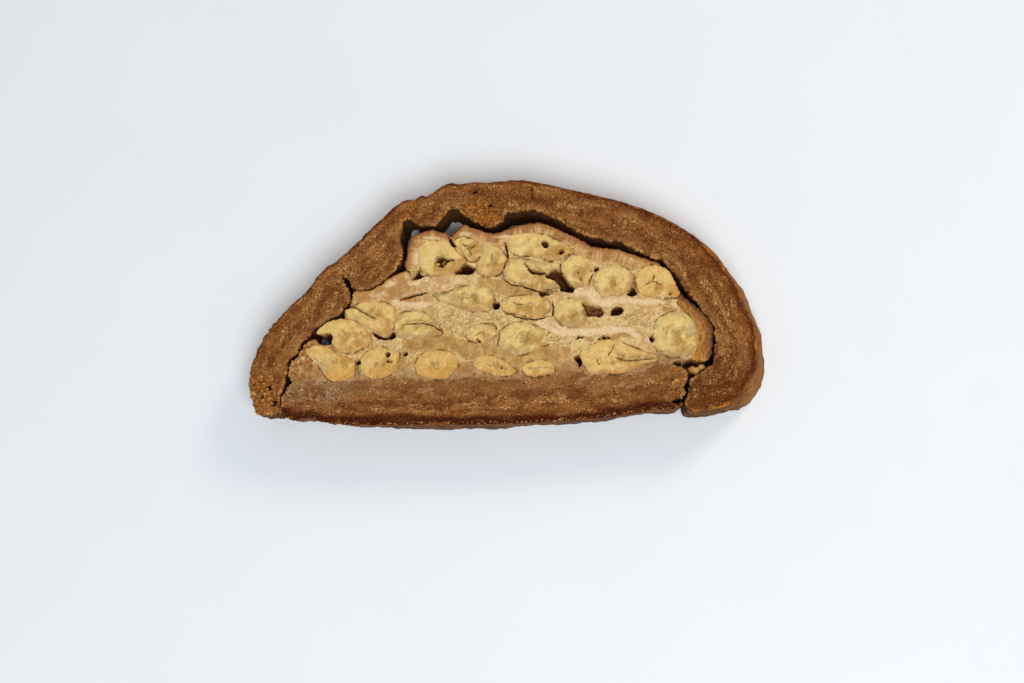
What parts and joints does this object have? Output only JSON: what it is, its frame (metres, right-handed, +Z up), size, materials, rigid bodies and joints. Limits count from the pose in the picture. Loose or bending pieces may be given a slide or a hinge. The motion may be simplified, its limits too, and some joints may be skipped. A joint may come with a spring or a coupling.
{
  "type": "kalakukko slice",
  "caption": "Thick half-moon slice of a rye loaf baked round small fish and fat pork, lying on one cut face with the layered filling showing on the other.",
  "frame": {"origin": "middle of the slice's box, on the lower cut face that it rests on", "axes": "+X along the loaf's flat base, +Y from the base to the crown, +Z up out of the shown cut face"},
  "size_m": [0.2002, 0.0982, 0.0209],
  "materials": {
    "rye_crust": null,
    "baked_base": null,
    "fish": null,
    "pork_fat": null,
    "pork_rind": null,
    "soaked_dough": null,
    "mash": null
  },
  "bodies": {
    "root": {"crust_base": "baked_base", "crust_dome": "rye_crust", "fat_left": "pork_fat", "fat_lower": "pork_fat", "fat_right": "pork_fat", "fat_scrap": "pork_fat", "fish_bottom_1": "fish", "fish_bottom_2": "fish", "fish_bottom_3": "fish", "fish_bottom_4": "fish", "fish_bottom_5": "fish", "fish_bottom_6": "fish", "fish_low_1": "fish", "fish_low_2": "fish", "fish_low_3": "fish", "fish_low_4": "fish", "fish_low_5": "fish", "fish_middle_1": "fish", "fish_middle_2": "fish", "fish_middle_3": "fish", "fish_right": "fish", "fish_top_1": "fish", "fish_top_2": "fish", "fish_top_3": "fish", "fish_top_4": "fish", "fish_top_5": "fish", "fish_top_6": "fish", "fish_top_7": "fish", "fish_top_8": "fish", "lean_right": "pork_rind", "mash_1": "mash", "mash_2": "mash", "mash_3": "mash", "mash_4": "mash", "mash_5": "mash", "mash_6": "mash", "mash_7": "mash", "rind_left": "pork_rind", "rind_top": "pork_rind", "soaked_lower": "soaked_dough", "soaked_middle": "soaked_dough"}
  },
  "joints": []
}
